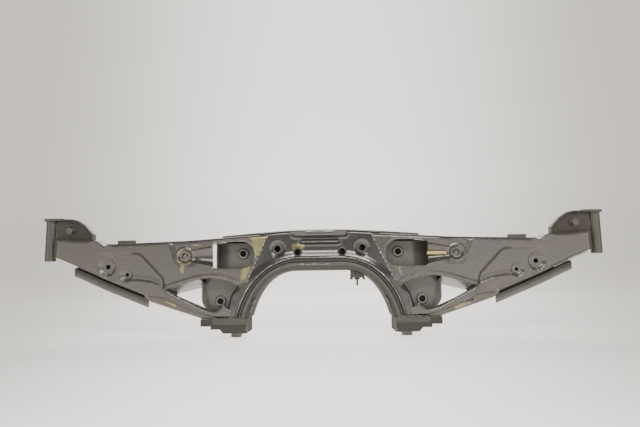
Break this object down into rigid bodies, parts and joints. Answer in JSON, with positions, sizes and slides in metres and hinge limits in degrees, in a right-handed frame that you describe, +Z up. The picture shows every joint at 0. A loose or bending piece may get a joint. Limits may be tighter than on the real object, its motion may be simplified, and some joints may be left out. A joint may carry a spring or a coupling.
{
  "type": "rear subframe",
  "caption": "Pressed and welded steel rear subframe: an arched centre box on stub feet, with tapered box arms that end in vertical mount sleeves, and brackets for suspension links.",
  "frame": {"origin": "midway between the two body mounts, on the top of the mount plates", "axes": "+X across the vehicle to the right as seen from the front, -Y out of the front face, +Z up along the mount sleeves"},
  "size_m": [1.152, 0.078, 0.245],
  "materials": {
    "coated_steel": "thin grey-brown dip coat over pressed sheet, with gold heat marks by the welds",
    "coated_tube": "thin olive-grey dip coat over drawn tube",
    "fastener": "grey coated steel, worn at the edges",
    "zinc_plate": "yellow passivated zinc plate"
  },
  "bodies": {
    "root": {"centre_front_panel": "coated_steel", "centre_rear_panel": "coated_steel", "arch_rim": "coated_steel", "outer_bush_left": "coated_tube", "outer_bush_right": "coated_tube", "inner_bush_left": "coated_tube", "inner_bush_right": "coated_tube", "arm_front_panel_left": "coated_steel", "arm_front_panel_right": "coated_steel", "arm_rear_panel_left": "coated_steel", "arm_rear_panel_right": "coated_steel", "lower_rail_left": "coated_steel", "lower_rail_right": "coated_steel", "mount_sleeve_left": "coated_tube", "mount_sleeve_right": "coated_tube", "mount_plate_left": "coated_tube", "mount_plate_right": "coated_tube", "end_bracket_left": "coated_steel", "end_bracket_right": "coated_steel", "end_bolt_left": "fastener", "end_bolt_right": "fastener", "upper_link_bracket_left": "coated_steel", "upper_link_bracket_right": "coated_steel", "lower_link_bracket_left": "coated_steel", "lower_link_bracket_right": "coated_steel", "upper_pivot_collar_left": "fastener", "upper_pivot_collar_right": "fastener", "lower_pivot_collar_left": "fastener", "lower_pivot_collar_right": "fastener", "foot_bracket_left": "coated_steel", "foot_bracket_right": "coated_steel", "foot_boss_left": "fastener", "foot_boss_right": "fastener", "clip_bracket": "fastener", "clip_stud": "fastener", "stay_bolt": "zinc_plate"}
  },
  "joints": []
}
